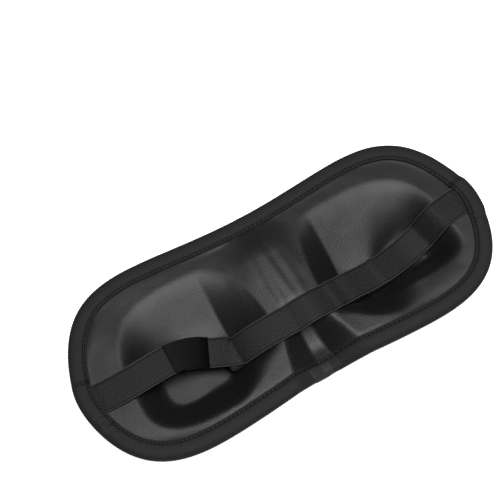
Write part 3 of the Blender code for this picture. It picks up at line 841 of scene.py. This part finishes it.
def strap_profile(thickness, selvedge):
    """Closed section of a flat strap: (across, up, painted edge light share: highlight on the cord less
    shade in the groove), from one top edge round.
    """
    half = STRAP_WIDTH / 2
    rows = []
    for across in strap_columns():
        beside = half - abs(across)
        cord = math.exp(-((beside - CORD[0]) / CORD[1]) ** 2)
        groove = math.exp(-((beside - GROOVE[0]) / GROOVE[1]) ** 2)
        rise = selvedge * (CORD[2] * cord - GROOVE[2] * groove)
        fall = EDGE_FALL * thickness if beside < 0.01 * MM else 0.0
        rows.append((across, thickness / 2 - fall + rise, (cord - groove) * selvedge))
    for i in range(UNDERSIDE_STEPS + 1):
        across = half - STRAP_WIDTH * i / UNDERSIDE_STEPS
        beside = half - abs(across)
        fall = EDGE_FALL * thickness if beside < 0.01 * MM else 0.0
        rows.append((across, -thickness / 2 + fall, 0.0))
    return rows


def strap_piece(name, path, thickness, selvedge, material, body, node_names, thin_end=0.0,
                painted_light_fade=0.0):
    """A flat strap laid along (point, across) pairs, its ends closed.

    thin_end is the length over which its far end tapers; the last argument paints light on its near
    end, fading out towards the far end.
    """
    profile = strap_profile(thickness, selvedge)
    mesh = unit_grid(len(path) - 1, len(profile))
    edge_layer = mesh.verts.layers.float.new("selvedge")
    travelled = [0.0]
    for one, two in zip(path, path[1:]):
        travelled.append(travelled[-1] + (two[0] - one[0]).length)
    size = len(profile)
    steps = {}
    for vert in mesh.verts:
        steps[vert] = (round(vert.co.x * (len(path) - 1)), round(vert.co.y * size))
    uv_layer = mesh.loops.layers.uv.new("along_across")
    for face in mesh.faces:
        for loop in face.loops:
            i, k = steps[loop.vert]
            across = profile[k % size][0]
            loop[uv_layer].uv = (travelled[i], across)
    for vert, (i, k) in steps.items():
        point, side = path[i]
        before = path[max(i - 1, 0)][0]
        after = path[min(i + 1, len(path) - 1)][0]
        normal = (after - before).normalized().cross(side).normalized()
        across, up, painted_edge_light = profile[k % size]
        if thin_end and up > 0:
            up -= thickness * 0.75 * smooth(1.0 - (travelled[-1] - travelled[i]) / thin_end)
        vert.co = point + side * across + normal * up
        # painted light: the near end is tinted lighter, fading along the strap towards the far end
        vert[edge_layer] = painted_edge_light + painted_light_fade * (1.0 - travelled[i] / travelled[-1])
    close_up(mesh, 0.002 * MM, open_ends=True)
    return new_object(name, mesh, material, body, node_names)


SEAM_STEPS = 8
TURN_STEPS = 8                   # round each bend of the spare length's fold


def seam_path(side, line):
    """The sewn-in end of the elastic, from under the binding in to the bend."""
    path = []
    start = side * (HALF_LENGTH - TAIL_INSET)
    stop = side * HINGE_X
    for i in range(SEAM_STEPS):
        share = i / SEAM_STEPS
        x = start + (stop - start) * i / SEAM_STEPS
        height = RIM + face_height(x, SEAM_Y) + SEAM_HEIGHT
        target = line(x if abs(x) < FLANGE_X else side * FLANGE_X)
        y = SEAM_Y + (target.y - SEAM_Y) * share
        path.append((Vector((x, y, height)), Vector((0.0, 1.0, 0.0))))
    return path


def loop_strap_path():
    """The loop strap: its spare length under the tab, the flat Z-fold, and on to the lap."""
    top = line_path(left_line, LOOP_END_X, FOLD_RIGHT_X - FOLD_PITCH, UNDER_TAB)
    middle_y = through(LONG_PLAN, FOLD_RIGHT_X)
    across = Vector((0.0, 1.0, 0.0))
    low_z = long_line(FOLD_RIGHT_X).z
    fold = []
    for step in range(TURN_STEPS + 1):
        turn = math.pi * step / TURN_STEPS
        fold.append((Vector((FOLD_RIGHT_X + FOLD_PITCH / 2 * math.sin(turn), middle_y,
                             low_z + FOLD_PITCH * (1.5 + 0.5 * math.cos(turn)))), across))
    for step in range(TURN_STEPS + 1):
        turn = math.pi * step / TURN_STEPS
        fold.append((Vector((FOLD_LEFT_X - FOLD_PITCH / 2 * math.sin(turn), middle_y,
                             low_z + FOLD_PITCH * (0.5 + 0.5 * math.cos(turn)))), across))
    low = []
    start = FOLD_LEFT_X + 2 * MM
    count = round((LAP_END_X - start) / MM)
    for i in range(count + 1):
        x = start + (LAP_END_X - start) * i / count
        rise = (SEAM_HEIGHT + LOOP_TAPE / 2) * smooth((x - LAP_START_X + LAP_CLIMB[0]) / LAP_CLIMB[1])
        rise += LAP_LIFT * smooth((x - LAP_END_X + LAP_CURL) / LAP_CURL)
        low.append((long_line(x) + Vector((0.0, 0.0, rise)), heading(long_line, x)))
    return top + fold + low


TAB_BEND = (0.2 * MM, 3.2 * MM)  # two distances from the tab's root; the tab is not bent between them


def make_straps():
    """Both elastics, which bend where they are sewn, the hook tab, which follows the left elastic's
    line, and the loop strap.
    """
    left = seam_path(-1, left_line) + line_path(left_line, -HINGE_X, TAB_ROOT_X - 0.1 * MM)
    piece = strap_piece("left_elastic", left, ELASTIC, 1.0, ELASTIC_KNIT, None,
                        ("left_strap", "left_strap_end"))
    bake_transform(piece)
    right = line_path(long_line, LAP_START_X, HINGE_X) + list(reversed(seam_path(1, long_line)))
    piece = strap_piece("right_elastic", right, ELASTIC, 1.0, ELASTIC_KNIT, None,
                        ("right_strap", "right_strap_end"))
    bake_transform(piece)
    # The hook tab is painted lighter at its root, fading towards its end: painted light and shade along
    # its slope.
    piece = strap_piece("hook_tab_tape", line_path(left_line, TAB_ROOT_X, TAB_END_X), HOOK_TAPE, 0.0,
                        HOOK_BACKING, None, ("hook_tab",), thin_end=4 * MM, painted_light_fade=0.16)
    tuple(left_line(TAB_ROOT_X + TAB_BEND[0]))
    tuple(left_line(TAB_ROOT_X + TAB_BEND[1]))
    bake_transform(piece)
    strap_piece("loop_faced_strap", loop_strap_path(), LOOP_TAPE, 1.0, LOOP_KNIT, "long_strap",
                ("loop_strap",))


make_straps()


def make_seam_bar(name, line, x, above, body, node_name):
    """A short row of stitches across a strap."""
    mesh = bmesh.new()
    across = heading(line, x)
    along = (line(x + MM) - line(x)).normalized()
    up = along.cross(across).normalized()
    for i in range(BAR_STITCHES):
        share = (i + 0.5) / BAR_STITCHES - 0.5
        centre = line(x) + across * share * (STRAP_WIDTH - 2 * BAR_MARGIN) + up * above
        add_stitch(mesh, centre, across, along, up, *BAR_STITCH_SIZE)
    return new_object(name, mesh, THREAD, body, (node_name,))


make_seam_bar("tab_seam", left_line, TAB_ROOT_X - 1.4 * MM, ELASTIC / 2, "left_strap", "tab_stitching")
make_seam_bar("lap_seam", long_line, LAP_END_X - 2.0 * MM, ELASTIC / 2 + GAP + LOOP_TAPE,
              "long_strap", "lap_stitching")


# ---- floor, camera and light --------------------------------------------------------------
FLOOR_HALF = 4.0
FLOOR_DROP = 0.05 * MM           # keeps the floor off the parts that touch it
AZIMUTH = math.radians(-30.06)
ELEVATION = math.radians(66.52)
DISTANCE = 467.5 * MM
FRAMED_WIDTH = 248.0 * MM        # width seen at that distance
AIM = Vector((-2.72 * MM, 27.95 * MM, RIM - 1.2 * MM))
LIGHT_PLACE = (0.06, -0.12, 0.9)
LIGHT_SIZE = 0.38
LIGHT_POWER = 7.8
ROOM_LIGHT = 0.02                # the room is seen white, but gives only this much light


def make_stage():
    """White floor that glows only to the camera, so that it throws little light on the mask."""
    mesh = bmesh.new()
    bmesh.ops.create_grid(mesh, x_segments=1, y_segments=1, size=FLOOR_HALF)
    floor_material, tree, shader = start_material("white_paper", Roughness=0.9)
    shader.inputs["Base Color"].default_value = linear("f0f0f0")
    shader.inputs["Emission Color"].default_value = linear("ffffff")
    seen = add(tree, "ShaderNodeLightPath")
    tree.links.new(seen.outputs["Is Camera Ray"], shader.inputs["Emission Strength"])
    data = bpy.data.meshes.new("floor")
    mesh.to_mesh(data)
    mesh.free()
    data.materials.append(floor_material)
    floor = bpy.data.objects.new("floor", data)
    floor.location.z = -FLOOR_DROP
    bpy.context.scene.collection.objects.link(floor)


def make_camera():
    back = Vector((math.sin(AZIMUTH) * math.cos(ELEVATION),
                   -math.cos(AZIMUTH) * math.cos(ELEVATION), math.sin(ELEVATION)))
    camera_data = bpy.data.cameras.new("camera")
    camera_data.sensor_width = 36.0
    camera_data.lens = camera_data.sensor_width * DISTANCE / FRAMED_WIDTH
    camera_data.clip_start = 0.01
    camera = bpy.data.objects.new("camera", camera_data)
    camera.location = AIM + back * DISTANCE
    camera.rotation_euler = (-back).to_track_quat("-Z", "Y").to_euler()
    bpy.context.scene.collection.objects.link(camera)
    bpy.context.scene.camera = camera


def make_light():
    """One square softbox overhead, aimed at the mask, in a dim room."""
    data = bpy.data.lights.new("overhead", "AREA")
    data.shape = "SQUARE"
    data.size = LIGHT_SIZE
    data.energy = LIGHT_POWER
    lamp = bpy.data.objects.new("overhead", data)
    lamp.location = LIGHT_PLACE
    lamp.rotation_euler = (-Vector(LIGHT_PLACE)).to_track_quat("-Z", "Y").to_euler()
    bpy.context.scene.collection.objects.link(lamp)
    world = bpy.data.worlds.new("studio")
    world.use_nodes = True
    tree = world.node_tree
    background = tree.nodes["Background"]
    background.inputs["Color"].default_value = linear("ffffff")
    seen = add(tree, "ShaderNodeLightPath").outputs["Is Camera Ray"]
    strength = add(tree, "ShaderNodeMath", {0: seen, 1: 1.0 - ROOM_LIGHT, 2: ROOM_LIGHT},
                   operation="MULTIPLY_ADD")
    tree.links.new(strength.outputs[0], background.inputs["Strength"])
    bpy.context.scene.world = world
    bpy.context.scene.view_settings.view_transform = "Standard"


make_stage()
make_camera()
make_light()
